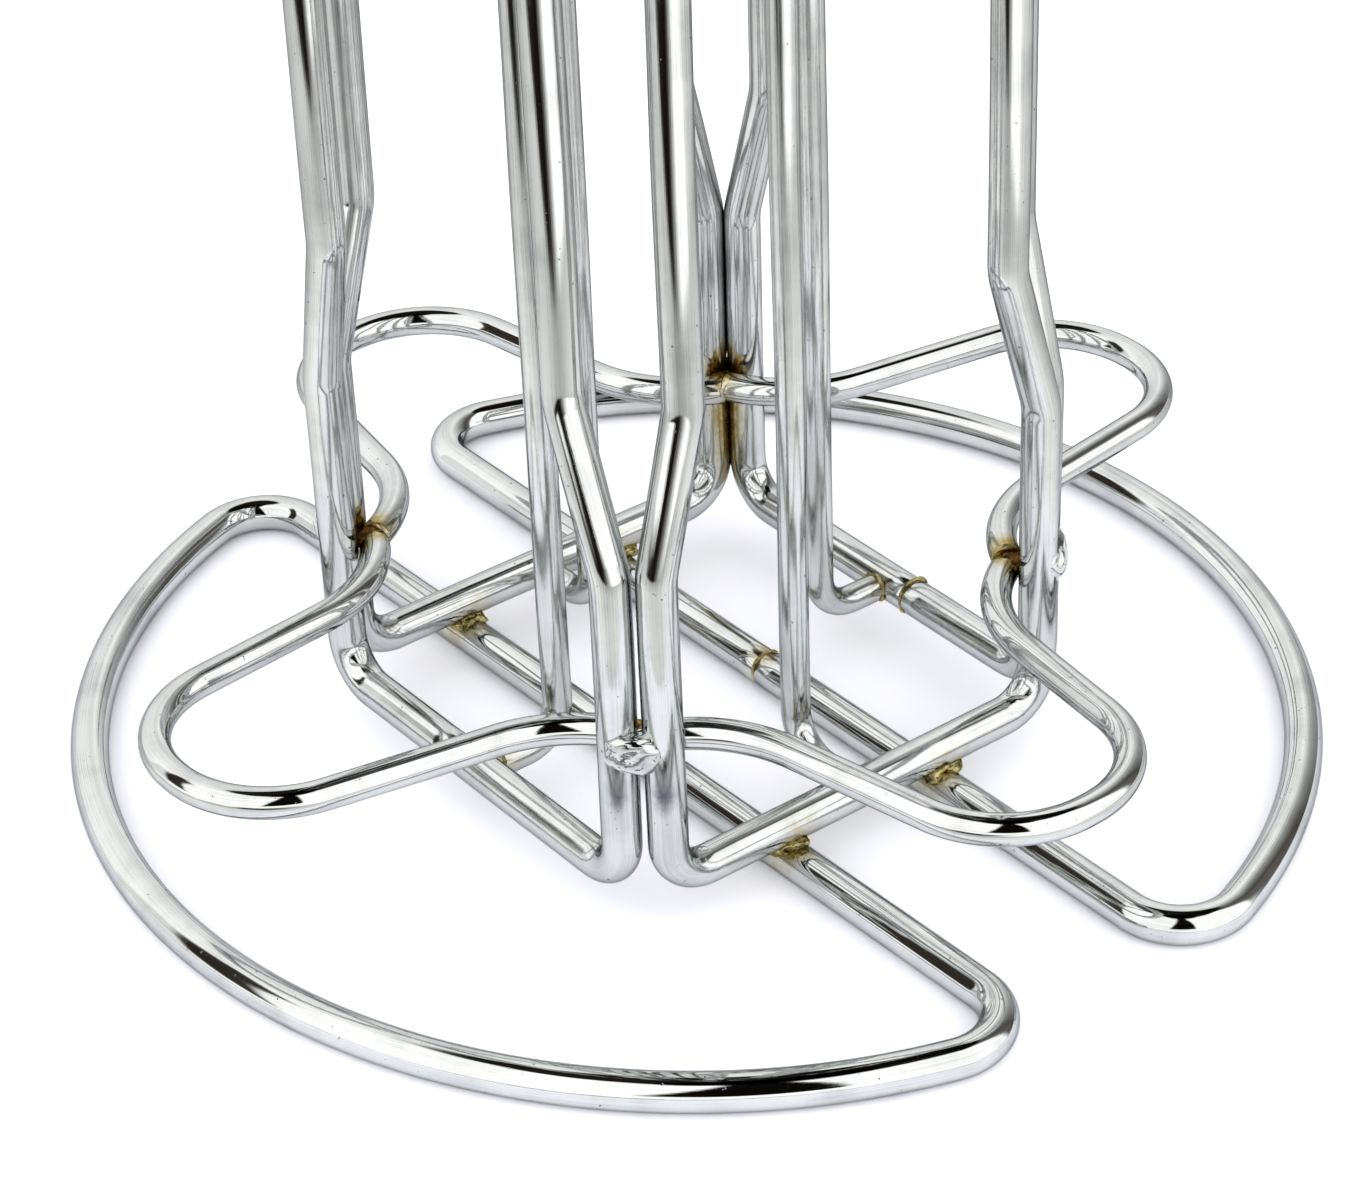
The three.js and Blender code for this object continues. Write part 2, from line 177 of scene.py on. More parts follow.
class TowerFinish(bpy.types.PropertyGroup):
    chrome: paint("Chrome", "Colour of clean plating", (0.6, 0.613, 0.608))
    haze: paint("Haze", "Colour of the duller patches of plating", (0.44, 0.453, 0.45))
    edge: paint("Chrome edge", "Tint of the plating at a grazing angle", (0.4, 0.42, 0.43))
    straw: paint("Straw tint", "Colour of light heat tint", (0.4, 0.33, 0.15))
    brown: paint("Brown tint", "Colour of strong heat tint", (0.2, 0.105, 0.035))
    # one dark colour for the fine pits in the plating and for the painted shade below the plated beads
    shade_and_pits: paint("Soot", "Colour of the dark smudges under the plated beads", (0.13, 0.14, 0.17))
    gold: paint("Gold bead", "Colour of the beads on the base", (0.46, 0.39, 0.17))
    floor: paint("Floor", "Colour of the floor", (0.93, 0.93, 0.94))


class StageLight(bpy.types.PropertyGroup):
    front: brightness("Front", "Brightness of the sky on the viewer's side", 2.6)
    rear: brightness("Rear", "Brightness of the sky behind the tower", 0.6)


def sizes():
    """The tower's sizes, as the sidebar holds them."""
    return bpy.context.scene.tower_sizes


def finish():
    """The tower's colours, as the sidebar holds them."""
    return bpy.context.scene.tower_finish


# ---------------------------------------------------------------- shapes

def blend(value, low, high, start=0.0, end=1.0):
    """Smooth step: start + (end - start) (3 t^2 - 2 t^3), where t runs from 0 at low to 1 at high."""
    share = np.clip((value - low) / (high - low), 0, 1)
    return start + (end - start) * (3 - 2 * share) * share ** 2


def bell(value, middle, spread):
    """Bell curve of height one: exp(-(value - middle)^2 / (2 spread^2))."""
    return np.exp(-((value - middle) / spread) ** 2 / 2)


def window(value, low, high, soft):
    """One between low and high, fading to nothing over the soft width at each end."""
    half = soft / 2
    return blend(value, low - half, low + half) * (1 - blend(value, high - half, high + half))


def turned(points, degrees):
    """Points turned about the tower's axis: x' = x cos - y sin, y' = x sin + y cos."""
    angle = math.radians(degrees)
    cosine, sine = math.cos(angle), math.sin(angle)
    spin = np.array([[cosine, -sine, 0], [sine, cosine, 0], [0, 0, 1]])
    return np.asarray(points, float) @ spin.T


def straight(start, end):
    """Evenly spaced points after start, up to end."""
    count = max(1, math.ceil(np.linalg.norm(end - start) / STRAIGHT_STEP))
    share = np.linspace(0, 1, count + 1)[1:, None]
    return start + share * (end - start)


def bent_wire(corners, bends):
    """Centre line through corners, rounded by a circle of each bend radius at the inner corners.

    On a bend the point is start + radius (sin t heading + (1 - cos t) inward) and the heading is
    cos t heading + sin t inward. Returns the points and the headings."""
    corners = np.asarray(corners, float)
    legs = np.diff(corners, axis=0)
    legs /= np.linalg.norm(legs, axis=1, keepdims=True)
    points, headings = [corners[:1]], [legs[:1]]
    for index, bend in enumerate(bends):
        arriving, leaving = legs[index], legs[index + 1]
        angle = math.acos(float(np.clip(arriving @ leaving, -1, 1)))
        inward = leaving - (leaving @ arriving) * arriving
        inward /= np.linalg.norm(inward)
        begin = corners[index + 1] - arriving * bend * math.tan(angle / 2)
        if np.linalg.norm(begin - points[-1][-1]) > SHORTEST_RUN:
            run = straight(points[-1][-1], begin)
            points.append(run)
            headings.append(np.tile(arriving, (len(run), 1)))
        turn = np.linspace(0, angle, math.ceil(angle / BEND_STEP) + 1)[1:, None]
        points.append(begin + bend * (np.sin(turn) * arriving + (1 - np.cos(turn)) * inward))
        headings.append(np.cos(turn) * arriving + np.sin(turn) * inward)
    run = straight(points[-1][-1], corners[-1])
    points.append(run)
    headings.append(np.tile(legs[-1], (len(run), 1)))
    return np.concatenate(points), np.concatenate(headings)


def floor_loop_line(x, y, radius, chord, corner, height):
    """Centre line of a floor loop on the -Y side, seam to seam: half the chord, a corner circle,
    the wide arc, the other corner circle and the other half of the chord. On a circle the point is
    centre + radius (cos t, sin t) and the heading (sin t, -cos t). The corner circles touch the
    wide arc from inside, where the bearing from its centre is meet. Returns points and headings."""
    corner_y = -chord - corner
    reach = math.sqrt((radius - corner) ** 2 - (corner_y - y) ** 2)
    meet = math.atan2(corner_y - y, reach)
    arcs = [
        (x + reach, corner_y, corner, math.pi / 2, meet, BEND_STEP),
        (x, y, radius, meet, -math.pi - meet, BEND_STEP / 2),
        (x - reach, corner_y, corner, -math.pi - meet, -1.5 * math.pi, BEND_STEP),
    ]
    start = np.array([SEAM_SIDE, -chord, height])
    run = straight(start, np.array([x + reach, -chord, height]))
    points, headings = [start[None], run], [np.tile(EAST, (len(run) + 1, 1))]
    for centre_x, centre_y, bend, first, last, step in arcs:
        angle = np.linspace(first, last, math.ceil(abs(last - first) / step))[1:]
        flat = np.full_like(angle, height)
        line = [centre_x + bend * np.cos(angle), centre_y + bend * np.sin(angle), flat]
        points.append(np.stack(line, axis=1))
        headings.append(np.stack([np.sin(angle), -np.cos(angle), 0 * angle], axis=1))
    run = straight(points[-1][-1], np.array([-SEAM_SIDE, -chord, height]))
    points.append(run)
    headings.append(np.tile(EAST, (len(run), 1)))
    return np.concatenate(points), np.concatenate(headings)


def wire_grid(points, headings, beside, radius, waver, seed):
    """Round wire: point + radius (cos a normal + sin a binormal) round each station, where normal is
    the beside direction squared up to the heading. Two slow sine waves carry the line a little to
    each side, and each end is closed by a shallow dome. Returns the grid and its draw coordinates:
    the cosine and sine of the angle round the wire, and the length along it."""
    along = np.concatenate([[0], np.cumsum(np.linalg.norm(np.diff(points, axis=0), axis=1))])
    normal = np.broadcast_to(beside, points.shape)
    normal = normal - (normal * headings).sum(axis=1, keepdims=True) * headings
    normal /= np.linalg.norm(normal, axis=1, keepdims=True)
    binormal = np.cross(headings, normal)
    fade = np.clip(np.minimum(along, along[-1] - along) / STEADY_END, 0, 1)[:, None]
    wave = along[:, None] * 2 * math.pi
    centre = points + waver * fade * np.sin(wave / LONG_WAVE + seed) * normal
    centre = centre + waver * fade * np.sin(wave / SHORT_WAVE + 2.1 * seed) * binormal
    depth, shrink = END_DOME * np.sin(DOME_ANGLES), np.cos(DOME_ANGLES) ** DOME_POWER
    ends = np.ones(len(DOME_ANGLES), int)
    rows = np.concatenate([0 * ends, np.arange(len(points)), (len(points) - 1) * ends])
    push = np.concatenate([-depth[::-1], np.zeros(len(points)), depth])
    scale = np.concatenate([shrink[::-1], np.ones(len(points)), shrink])
    angle = np.linspace(0, 2 * math.pi, WIRE_SEGMENTS, endpoint=False)
    middle = centre[rows] + push[:, None] * headings[rows]
    circle = np.cos(angle)[None, :, None] * normal[rows][:, None]
    circle = circle + np.sin(angle)[None, :, None] * binormal[rows][:, None]
    grid = middle[:, None] + (radius * scale)[:, None, None] * circle
    lengthwise = np.broadcast_to((along[rows] + push)[:, None], grid.shape[:2])
    around = np.broadcast_to(angle, grid.shape[:2])
    draw = np.stack([np.cos(around), np.sin(around), lengthwise + seed], axis=2)
    return grid, draw


def bead_grid(centre, degrees, half_sizes, ripple, seed):
    """Lumpy bead: centre + half sizes times the unit sphere's direction, each part of it raised to
    a power below one so that the bead is full, times one plus a sum of sine ripples of that
    direction, turned about the upright axis. Returns the grid and the directions."""
    dice = np.random.default_rng(seed)
    tilt = np.linspace(-math.pi / 2, math.pi / 2, BEAD_ROWS + 2)[1:-1, None]
    turn = np.linspace(0, 2 * math.pi, BEAD_COLUMNS, endpoint=False)[None, :]
    level = np.cos(tilt)
    direction = np.stack([level * np.cos(turn), level * np.sin(turn), np.sin(tilt) + 0 * turn], axis=2)
    waves = dice.normal(size=(BEAD_RIPPLES, 3)) * np.linspace(1.6, 5.5, BEAD_RIPPLES)[:, None]
    strength = ripple / np.linspace(1, 2.6, BEAD_RIPPLES)
    phase = dice.uniform(0, 2 * math.pi, BEAD_RIPPLES)
    lumps = (np.sin(direction @ waves.T + phase) * strength).sum(axis=2, keepdims=True)
    full = np.sign(direction) * np.abs(direction) ** BEAD_POWER
    shape = full * np.asarray(half_sizes) * (1 + lumps)
    return turned(shape, degrees) + np.asarray(centre), direction


def bead(kind, centre, degrees, seed):
    """The grid and directions of one of the kinds of bead, with its own seed."""
    half_sizes, ripple, first_seed = BEADS[kind]
    return bead_grid(centre, degrees, np.array(half_sizes) * MM, ripple, first_seed + seed)


def mesh_piece(name, grid, draw, material, node):
    """Closed mesh from a grid whose columns wrap round and whose end rows are closed by fans. It
    carries its draw coordinates, its heat tint and its painted shade, rides on the tower and stands for one
    frame node."""
    rows, columns = grid.shape[:2]
    index = np.arange(rows * columns).reshape(rows, columns)
    beside = np.roll(index, -1, axis=1)
    quads = np.stack([index[:-1], beside[:-1], beside[1:], index[1:]], axis=2).reshape(-1, 4)
    first, last = rows * columns, rows * columns + 1
    low = np.stack([np.full(columns, first), beside[0], index[0]], axis=1)
    high = np.stack([np.full(columns, last), index[-1], beside[-1]], axis=1)
    tips = np.stack([grid[0].mean(axis=0), grid[-1].mean(axis=0)])
    places = np.concatenate([grid.reshape(-1, 3), tips])
    mesh = bpy.data.meshes.new(name)
    mesh.from_pydata(places.tolist(), [], quads.tolist() + low.tolist() + high.tolist())
    mesh.polygons.foreach_set("use_smooth", np.ones(len(mesh.polygons), bool))
    draws = np.concatenate([draw.reshape(-1, 3), draw[0, :1], draw[-1, :1]])
    for attribute, values in (("draw", draws), ("heat_and_shade", heat_and_shade_levels(places))):
        data = mesh.attributes.new(attribute, "FLOAT_VECTOR", "POINT").data
        data.foreach_set("vector", values.ravel())
    mesh.update()
    piece = bpy.data.objects.new(name, mesh)
    bpy.context.collection.objects.link(piece)
    mesh.materials.append(material)
    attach(piece, "root")
    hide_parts(node)
    return piece


# ---------------------------------------------------------------- places on the tower

@cache
def half_width():
    """Distance of the bars' centre lines from the middle."""
    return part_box("frame_wire_right")[1][0] - sizes().heavy


@cache
def bar_height():
    """Height of the bars' centre lines, from the lowest flat face of their wire."""
    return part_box("frame_wire_right")[0][2] + sizes().heavy * FACET_SHARE


@cache
def lobe_height(side):
    """Height of a lobe's centre line."""
    low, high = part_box(f"tray_lobe_{side}")
    return (low[2] + high[2]) / 2


def corner_inset(turn):
    """How far the uprights stand in from the corner at this turn."""
    return sizes().back_inset if turn == CORNER_TURNS["back"] else sizes().inset


def corner_place(turn, outward, height, across=0.0):
    """Point by a corner: outward of the plane through its two uprights, and across to the right."""
    middle = half_width() - corner_inset(turn) / 2
    step, aside = middle + outward / math.sqrt(2), across / math.sqrt(2)
    return turned([step + aside, aside - step, height], turn)


@cache
def crossings():
    """Where the side bars lie across the floor loops' chords, which are lines at the distance c from
    the middle, turned by t: y = c / cos t + x tan t."""
    places = {}
    for end, loop, sign in (("front", "base_loop_front", -1), ("rear", "base_loop_rear", 1)):
        plan = FLOOR_LOOPS[loop]
        turn = math.radians(plan["turn"])
        for hand, x in (("left", -half_width()), ("right", half_width())):
            y = sign * plan["chord"] * MM / math.cos(turn) + x * math.tan(turn)
            places[f"{end}_{hand}"] = np.array([x, y, (bar_height() + sizes().heavy) / 2])
    return places


@cache
def corner_heights():
    """Mean height of the two lobes that meet at each corner."""
    names = list(SIDES)
    pairs = zip(CORNER_TURNS, names, names[1:] + names[:1])
    return {corner: (lobe_height(near) + lobe_height(far)) / 2 for corner, near, far in pairs}


@cache
def heat_and_shade_spots():
    """Marks as (kind, centre, spread, strength): heat tint that welding left inside each pair with a
    run of it down the back pair, at the crossings and at the seams, and painted shade under the plated
    beads."""
    marks = []
    for corner, height in corner_heights().items():
        turn = CORNER_TURNS[corner]
        marks.append(("heat", corner_place(turn, -3.6 * MM, height + 0.6 * MM), 2.1 * MM, 0.95))
        marks.append(("heat", corner_place(turn, -1.6 * MM, height + 2.6 * MM), 1.8 * MM, 0.5))
        # painted shade on both uprights of the pair, below its plated bead
        for across in (-2.7 * MM, 2.9 * MM):
            for drop, spread, strength in ((3.4 * MM, 1.1 * MM, 0.8), (5.4 * MM, 0.9 * MM, 0.5)):
                place = corner_place(turn, 2.2 * MM, height - drop, across)
                marks.append(("shade_and_pits", place, spread, strength))
    for drop in range(1, 8):
        height = corner_heights()["back"] - 2.6 * MM * drop
        place = corner_place(CORNER_TURNS["back"], -1.4 * MM, height)
        marks.append(("heat", place, 1.7 * MM, 1 - 0.1 * drop))
    for place in crossings().values():
        marks.append(("heat", place, 2.9 * MM, 0.6))
    for plan in FLOOR_LOOPS.values():
        seam = turned([0, -plan["chord"] * MM, 2 * sizes().heavy], plan["side"] + plan["turn"])
        marks.append(("heat", seam, 1.6 * MM, 0.5))
    for turn in SIDES.values():
        seam = turned([0, sizes().heavy - half_width(), bar_height()], turn)
        marks.append(("heat", seam, 2.2 * MM, 0.4))
    return marks


def heat_and_shade_levels(places):
    """Heat tint in x and painted shade in y at each place: the strongest of the marks, each fading with the
    square of the distance as a bell curve."""
    levels = np.zeros((len(places), 3))
    for kind, centre, spread, strength in heat_and_shade_spots():
        gap = ((places - np.asarray(centre)) ** 2).sum(axis=1)
        column = 0 if kind == "heat" else 1
        levels[:, column] = np.maximum(levels[:, column], strength * np.exp(-gap / (2 * spread ** 2)))
    return levels


# ---------------------------------------------------------------- materials

class Bench:
    """A material's node tree with short ways to add and join nodes."""

    def __init__(self, name):
        self.material = bpy.data.materials.new(name)
        self.material.use_nodes = True
        self.tree = self.material.node_tree
        self.shader = self.tree.nodes["Principled BSDF"]

    def add(self, kind, **settings):
        """A node whose own settings or sockets take the values given."""
        node = self.tree.nodes.new(kind)
        for key, value in settings.items():
            if hasattr(node, key):
                setattr(node, key, value)
            else:
                node.inputs[key.replace("_", " ")].default_value = value
        return node

    def join(self, output, target):
        """A link from an output to a socket."""
        self.tree.links.new(output, target)

    def noise(self, vector, scale, detail=3.0, roughness=0.5):
        """Noise from 0 to 1 over the place given."""
        node = self.add("ShaderNodeTexNoise", Scale=scale, Detail=detail, Roughness=roughness)
        self.join(vector, node.inputs["Vector"])
        return node.outputs["Fac"]

    def span(self, value, low, high, start=0.0, end=1.0):
        """The value, mapped from low and high to start and end and held there."""
        node = self.add("ShaderNodeMapRange", From_Min=low, From_Max=high, To_Min=start, To_Max=end)
        self.join(value, node.inputs["Value"])
        return node.outputs["Result"]

    def math(self, operation, left, right):
        """Sum, difference or product of two outputs or numbers."""
        node = self.add("ShaderNodeMath", operation=operation)
        for socket, value in zip(node.inputs, (left, right)):
            if isinstance(value, (int, float)):
                socket.default_value = value
            else:
                self.join(value, socket)
        return node.outputs["Value"]

    def mix(self, share, first, second):
        """Colour from first to second, which are outputs or plain colours, by the share."""
        node = self.add("ShaderNodeMix", data_type="RGBA")
        factor, (left, right) = node.inputs[0], node.inputs[6:8]
        self.join(share, factor)
        for socket, value in ((left, first), (right, second)):
            if hasattr(value, "links"):
                self.join(value, socket)
            else:
                socket.default_value = (*value, 1)
        return node.outputs[2]

    def bump(self, height, strength, distance, under=None):
        """Bumped normal, laid over another one where it is given."""
        node = self.add("ShaderNodeBump", Strength=strength, Distance=distance)
        self.join(height, node.inputs["Height"])
        if under:
            self.join(under, node.inputs["Normal"])
        return node.outputs["Normal"]

    def object_place(self):
        """Place on the object, in metres."""
        return self.add("ShaderNodeTexCoord").outputs["Object"]


def shaded(colour, share):
    """A colour darkened to a share of itself."""
    return tuple(channel * share for channel in colour)


def chrome_material(name, roughness, line_strength):
    """Plated wire: lengthwise draw lines, duller patches, fine pits, heat tint near welds and painted shade
    under the plated beads.
    """
    bench = Bench(name)
    colours = finish()
    draw = bench.add("ShaderNodeAttribute", attribute_name="draw").outputs["Vector"]
    stretch = bench.add("ShaderNodeMapping")
    stretch.inputs["Scale"].default_value = (1, 1, 2.2)
    bench.join(draw, stretch.inputs["Vector"])
    lines = bench.noise(stretch.outputs["Vector"], scale=16, detail=4, roughness=0.6)
    place = bench.object_place()
    patches = bench.noise(place, scale=130, detail=4, roughness=0.6)
    grain = bench.noise(place, scale=2600, detail=2)
    pits = bench.span(bench.noise(place, scale=1700, detail=1, roughness=0.4), 0.76, 0.8)
    half_lines, half_patches = (bench.math("MULTIPLY", part, 0.5) for part in (lines, patches))
    dull = bench.span(bench.math("ADD", half_lines, half_patches), 0.46, 0.64)
    heat_and_shade = bench.add("ShaderNodeSeparateXYZ")
    marks = bench.add("ShaderNodeAttribute", attribute_name="heat_and_shade").outputs["Vector"]
    bench.join(marks, heat_and_shade.inputs["Vector"])
    ragged = bench.span(bench.noise(place, scale=700, detail=4, roughness=0.7), 0.3, 0.7, 0.55, 1.35)
    heat = bench.math("MULTIPLY", heat_and_shade.outputs["X"], ragged)
    # painted shade below the plated beads, frayed by the same noise as the heat tint
    shade_and_pits = bench.math("MULTIPLY", heat_and_shade.outputs["Y"], ragged)
    plating = bench.mix(dull, tuple(colours.chrome), tuple(colours.haze))
    plating = bench.mix(pits, plating, tuple(colours.shade_and_pits))
    warmed = bench.mix(bench.span(heat, 0.1, 0.5), plating, tuple(colours.straw))
    browned = bench.mix(bench.span(heat, 0.42, 0.95), warmed, tuple(colours.brown))
    # the painted shade darkens the plating below the plated beads
    shaded_below_beads = bench.mix(bench.span(shade_and_pits, 0.1, 0.8), browned, tuple(colours.shade_and_pits))
    bench.join(shaded_below_beads, bench.shader.inputs["Base Color"])
    plain = bench.span(dull, 0, 1, roughness, roughness + 0.05)
    rough = bench.math("ADD", plain, bench.span(heat, 0.1, 0.9, 0, 0.28))
    rough = bench.math("ADD", rough, bench.span(shade_and_pits, 0.1, 0.9, 0, 0.2))
    bench.join(rough, bench.shader.inputs["Roughness"])
    bench.shader.inputs["Metallic"].default_value = 1
    bench.shader.inputs["Specular Tint"].default_value = (*colours.edge, 1)
    normal = bench.bump(lines, line_strength, distance=0.06 * MM)
    normal = bench.bump(grain, strength=0.04, distance=0.01 * MM, under=normal)
    flats = bench.math("SUBTRACT", 1.0, pits)
    normal = bench.bump(flats, strength=0.25, distance=0.03 * MM, under=normal)
    bench.join(normal, bench.shader.inputs["Normal"])
    return bench.material


def bead_material(name, light, dark, roughness, coarse):
    """Weld bead: patches of two colours, dark specks, and a lumpy skin with fine ripples. At a
    grazing angle it is tinted like its light colour, only paler."""
    bench = Bench(name)
    place = bench.object_place()
    patches = bench.span(bench.noise(place, scale=420, detail=4, roughness=0.65), 0.4, 0.62)
    specks = bench.span(bench.noise(place, scale=1500, detail=2, roughness=0.5), 0.62, 0.7)
    colour = bench.mix(patches, tuple(light), tuple(dark))
    colour = bench.mix(specks, colour, shaded(dark, 0.2))
    bench.join(colour, bench.shader.inputs["Base Color"])
    rough = bench.span(bench.noise(place, scale=800), 0.3, 0.7, roughness * 0.6, roughness * 1.5)
    bench.join(rough, bench.shader.inputs["Roughness"])
    bench.shader.inputs["Metallic"].default_value = 1
    edge = (min(1, 1.6 * channel + 0.2) for channel in light)
    bench.shader.inputs["Specular Tint"].default_value = (*edge, 1)
    lumps = bench.noise(place, scale=520, roughness=0.6)
    ripples = bench.noise(place, scale=1900, detail=2)
    normal = bench.bump(lumps, coarse, distance=0.35 * MM)
    normal = bench.bump(ripples, coarse * 0.5, distance=0.06 * MM, under=normal)
    bench.join(normal, bench.shader.inputs["Normal"])
    return bench.material


def floor_material():
    """Matt white board with the faintest unevenness of tone and surface."""
    bench = Bench("pale_floor")
    place = bench.object_place()
    white = tuple(finish().floor)
    shade = bench.mix(bench.noise(place, scale=3, detail=2), white, shaded(white, 0.985))
    bench.join(shade, bench.shader.inputs["Base Color"])
    bench.shader.inputs["Roughness"].default_value = 0.85
    bench.shader.inputs["Specular IOR Level"].default_value = 0.1
    grain = bench.bump(bench.noise(place, scale=500, detail=2), strength=0.02, distance=0.1 * MM)
    bench.join(grain, bench.shader.inputs["Normal"])
    return bench.material


def glow_material(name):
    """Plain light whose strength is the mesh's own glow attribute, warmer where it is dim."""
    bench = Bench(name)
    glow = bench.add("ShaderNodeAttribute", attribute_name="glow").outputs["Fac"]
    light = bench.add("ShaderNodeEmission")
    warm, neutral = (1, 0.78, 0.6), (1, 1, 0.985)
    bench.join(bench.mix(bench.span(glow, 0, 0.25), warm, neutral), light.inputs["Color"])
    bench.join(glow, light.inputs["Strength"])
    bench.join(light.outputs["Emission"], bench.tree.nodes["Material Output"].inputs["Surface"])
    return bench.material


def kept_material(name, maker, *settings):
    """The named material, made the first time it is asked for."""
    return bpy.data.materials.get(name) or maker(name, *settings)


def smooth_chrome():
    """Bright plating on the floor loops and the lobes."""
    return kept_material("smooth_chrome", chrome_material, 0.035, 0.05)


def drawn_chrome():
    """Plating with light draw lines on the frame wires."""
    return kept_material("drawn_chrome", chrome_material, 0.05, 0.15)


def fine_chrome():
    """Plating with strong draw lines on the thin wires."""
    return kept_material("fine_chrome", chrome_material, 0.07, 0.24)


def plated_bead():
    """Chrome over a weld bead."""
    return kept_material("plated_weld", bead_material, finish().chrome, finish().haze, 0.07, 0.22)


def straw_bead():
    """Weld bead that heat has turned gold."""
    gold = finish().gold
    return kept_material("straw_weld", bead_material, gold, shaded(gold, 0.22), 0.14, 0.7)


def brown_bead():
    """Weld bead that heat has burnt brown."""
    brown = finish().brown
    return kept_material("brown_weld", bead_material, brown, shaded(brown, 0.25), 0.28, 0.6)


# ---------------------------------------------------------------- operators

class TOWER_OT_floor_loops(bpy.types.Operator):
    """Builds the two floor loops, each a wide arc closed by a straight chord"""
    bl_idname = "tower.floor_loops"
    bl_label = "Floor loops"

    def execute(self, context):
        radius = sizes().heavy
        for order, (node, plan) in enumerate(FLOOR_LOOPS.items()):
            lengths = {key: plan[key] * MM for key in ("x", "y", "radius", "chord", "corner")}
            points, headings = floor_loop_line(height=radius, **lengths)
            turn = plan["side"] + plan["turn"]
            points, headings = turned(points, turn), turned(headings, turn)
            grid, draw = wire_grid(points, headings, DOWN, radius, 0, order + 1.0)
            mesh_piece(f"chrome_{node}", grid, draw, smooth_chrome(), node)
        return {"FINISHED"}


class TOWER_OT_frame_wires(bpy.types.Operator):
    """Builds the two outer frame wires that rise over the four corners"""
    bl_idname = "tower.frame_wires"
    bl_label = "Frame wires"

    def route(self, start, top):
        """Corners and bends from one bar seam over two corners to the other bar seam."""
        size = sizes()
        low = bar_height()
        names = list(SIDES)
        begin = [BAR_SEAM + SEAM_SIDE, -half_width(), low]
        corners, bends = [turned(begin, SIDES[names[start]])], []
        for step in range(2):
            here, there = names[(start + step) % 4], names[(start + step + 1) % 4]
            rising, falling = UPPER_POSTS[here][1], UPPER_POSTS[there][0]
            foot = half_width() - corner_inset(SIDES[here])
            climb = [(foot, low), (foot, size.neck_bottom), (rising, size.neck_top), (rising, top)]
            descent = [(falling, top), (falling, size.neck_top), (-foot, size.neck_bottom), (-foot, low)]
            corners += [turned([x, -half_width(), z], SIDES[here]) for x, z in climb]
            corners += [turned([x, -half_width(), z], SIDES[there]) for x, z in descent]
            over = np.linalg.norm(corners[-5] - corners[-4]) / 2
            bends += [size.foot_bend, size.neck_bend, size.neck_bend, over]
            bends += [over, size.neck_bend, size.neck_bend, size.foot_bend]
        end = [BAR_SEAM - SEAM_SIDE, -half_width(), low]
        corners.append(turned(end, SIDES[names[(start + 2) % 4]]))
        return corners, bends

    def execute(self, context):
        radius = sizes().heavy
        for seed, (node, start) in enumerate((("frame_wire_right", 0), ("frame_wire_left", 2))):
            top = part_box(node)[1][2] - radius
            points, headings = bent_wire(*self.route(start, top))
            beside = points * [1, 1, 0]
            grid, draw = wire_grid(points, headings, beside, radius, sizes().waver, seed + 3.3)
            mesh_piece(f"chrome_{node}", grid, draw, drawn_chrome(), node)
        return {"FINISHED"}


class TOWER_OT_tray_lobes(bpy.types.Operator):
    """Builds the four tray lobes that catch the lowest pods"""
    bl_idname = "tower.tray_lobes"
    bl_label = "Tray lobes"

    def execute(self, context):
        size = sizes()
        for order, (side, turn) in enumerate(SIDES.items()):
            node = f"tray_lobe_{side}"
            low, high = (turned(corner, -turn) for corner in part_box(node))
            reach = -min(low[1], high[1]) - size.tray
            height, lean = lobe_height(side), LOBE_LEAN[side]
            (end_x, end_y), (flare_x, flare_y) = LOBE_END, LOBE_FLARE
            half = [(lean + size.lobe_half, -reach), (flare_x, flare_y), (end_x, end_y)]
            other = [(lean - size.lobe_half, -reach), (-flare_x, flare_y), (-end_x, end_y)]
            corners = [(x, y, height) for x, y in half[::-1] + other]
            bends = [size.flare_bend, size.lobe_bend, size.lobe_bend, size.flare_bend]
            points, headings = bent_wire(corners, bends)
            points, headings = turned(points, turn), turned(headings, turn)
            grid, draw = wire_grid(points, headings, DOWN, size.tray, size.waver, order + 5.7)
            mesh_piece(f"chrome_{node}", grid, draw, smooth_chrome(), node)
        return {"FINISHED"}


class TOWER_OT_handle_wires(bpy.types.Operator):
    """Builds the two thin wires that stand up the middle and cross as the handle"""
    bl_idname = "tower.handle_wires"
    bl_label = "Handle wires"

    def execute(self, context):
        size = sizes()
        foot = half_width() - size.heavy + BAR_OVERLAP
        reach, low = size.inner_reach, bar_height()
        for node, turn in (("handle_wire_cross", 0), ("handle_wire_main", 90)):
            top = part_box(node)[1][2] - size.thin
            plan = [(-foot, low), (-reach, low), (-reach, top), (reach, top), (reach, low), (foot, low)]
            corners = [(x, 0, z) for x, z in plan]
            bends = [size.thin_bend, reach, reach, size.thin_bend]
            points, headings = bent_wire(corners, bends)
            points, headings = turned(points, turn), turned(headings, turn)
            beside = turned([0, 1.0, 0], turn)
            grid, draw = wire_grid(points, headings, beside, size.thin, size.waver, turn + 8.1)
            mesh_piece(f"chrome_{node}", grid, draw, fine_chrome(), node)
        return {"FINISHED"}


class TOWER_OT_corner_beads(bpy.types.Operator):
    """Builds the plated bead outside each upright pair and the brown bead inside it"""
    bl_idname = "tower.corner_beads"
    bl_label = "Corner beads"

    def execute(self, context):
        for seed, (corner, height) in enumerate(corner_heights().items()):
            turn = CORNER_TURNS[corner]
            outer = corner_place(turn, outward=1.5 * MM, height=height + 1.9 * MM, across=-0.7 * MM)
            grid, draw = bead("pair", outer, turn + DIAGONAL, seed)
            node = f"pair_weld_{corner}"
            mesh_piece(f"bead_{node}", grid, draw, plated_bead(), node)
            inner = corner_place(turn, outward=-3.5 * MM, height=height + 0.3 * MM)
            grid, draw = bead("lobe", inner, turn + DIAGONAL, seed)
            node = f"lobe_weld_{corner}"
            mesh_piece(f"bead_{node}", grid, draw, brown_bead(), node)
        return {"FINISHED"}


